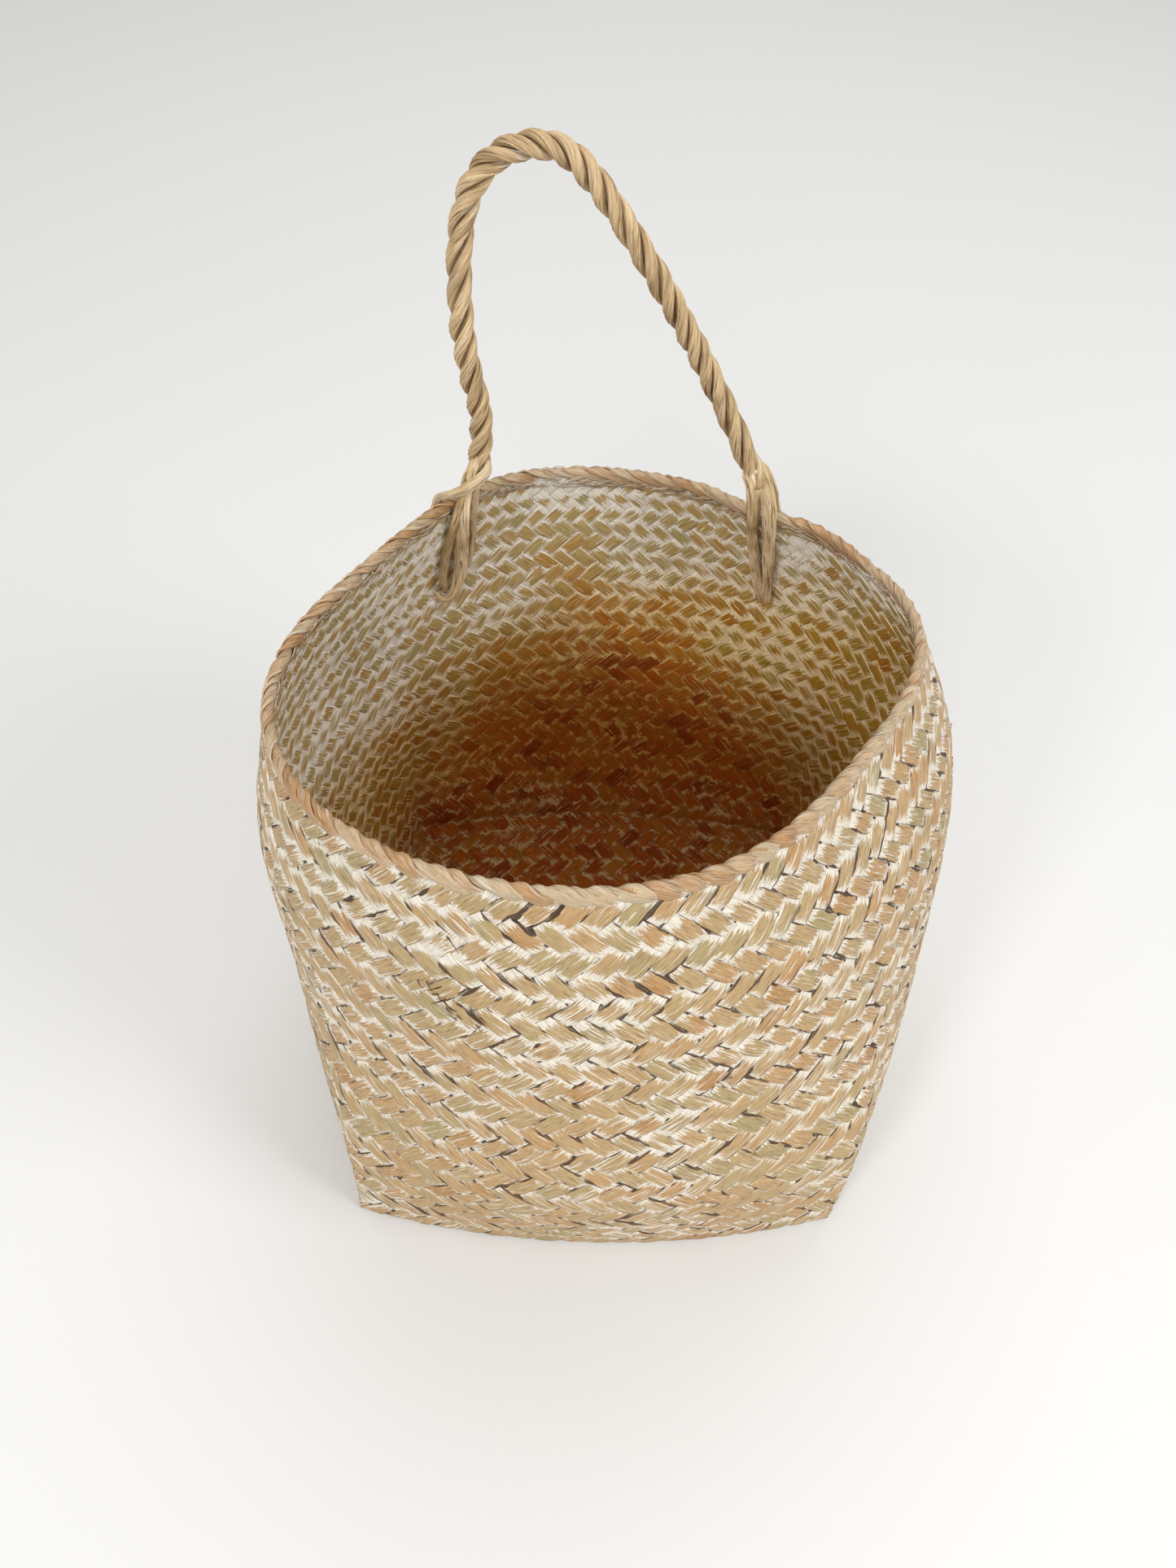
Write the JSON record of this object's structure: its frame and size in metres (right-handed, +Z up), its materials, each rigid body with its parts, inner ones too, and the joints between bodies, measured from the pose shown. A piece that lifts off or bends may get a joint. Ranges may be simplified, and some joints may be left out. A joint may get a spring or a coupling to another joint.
{
  "type": "woven fruit basket",
  "caption": "Small plaited seagrass basket with a square base, round mouth, folded rim and a twisted rope loop handle tied through the back wall.",
  "frame": {"origin": "on the table under the middle of the body's outline", "axes": "+Z up, the handle stands at the back (+Y), the front faces -Y"},
  "size_m": [0.2187, 0.2134, 0.3008],
  "materials": {
    "plaited_strip": "dry flat leaf strips with worn white wash in the gaps",
    "base_strip": "dry flat leaf strips, darker inside",
    "border_strip": "dry strips folded over an edge, slightly waxy",
    "rope_fibre": "matte twisted fibre rope",
    "strand_fibre": "matte loose fibre strand"
  },
  "bodies": {
    "basket": {"woven_wall": "plaited_strip", "base_panel": "base_strip", "rim_border": "border_strip", "left_leg_main": "strand_fibre", "left_leg_thin": "strand_fibre", "left_leg_rear": "strand_fibre", "left_outer_strand": "strand_fibre", "right_leg_front": "strand_fibre", "right_leg_rear": "strand_fibre", "right_outer_strand": "strand_fibre"},
    "handle": {"handle_rope": "rope_fibre"}
  },
  "joints": [
    {"name": "handle_swing", "type": "hinge", "parent": "basket", "child": "handle", "pos_m": [0, 0.0678, 0.1994], "axis": [1, 0, 0], "range_deg": [-90, 95]}
  ]
}
